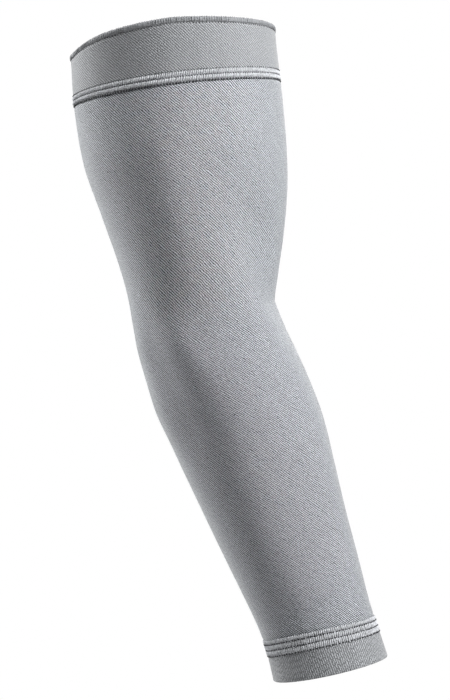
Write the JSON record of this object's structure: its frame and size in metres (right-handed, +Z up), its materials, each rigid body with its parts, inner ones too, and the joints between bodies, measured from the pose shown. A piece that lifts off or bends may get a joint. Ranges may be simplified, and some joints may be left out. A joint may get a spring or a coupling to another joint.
{
  "type": "arm sleeve",
  "caption": "Pull-on knitted arm sleeve shaped over a slightly bent elbow, with an elastic upper cuff, a bound mouth edge and a sewn wrist hem.",
  "frame": {"origin": "middle of the mouth at the upper arm, where the arm goes in", "axes": "+Z up the arm towards the shoulder, +X towards the inner bend of the elbow, -Y the outer side of the arm, which the picture shows"},
  "size_m": [0.1903, 0.1088, 0.3931],
  "materials": {
    "tube_knit": "matt heathered grey fine knit of polyester and elastane",
    "band_knit": "matt heathered grey knit with ribs along the arm",
    "edge_thread": "darker grey overlock thread"
  },
  "bodies": {
    "root": {"sleeve_tube": "tube_knit", "upper_cuff": "band_knit", "wrist_hem": "band_knit", "mouth_edge": "edge_thread"}
  },
  "joints": []
}
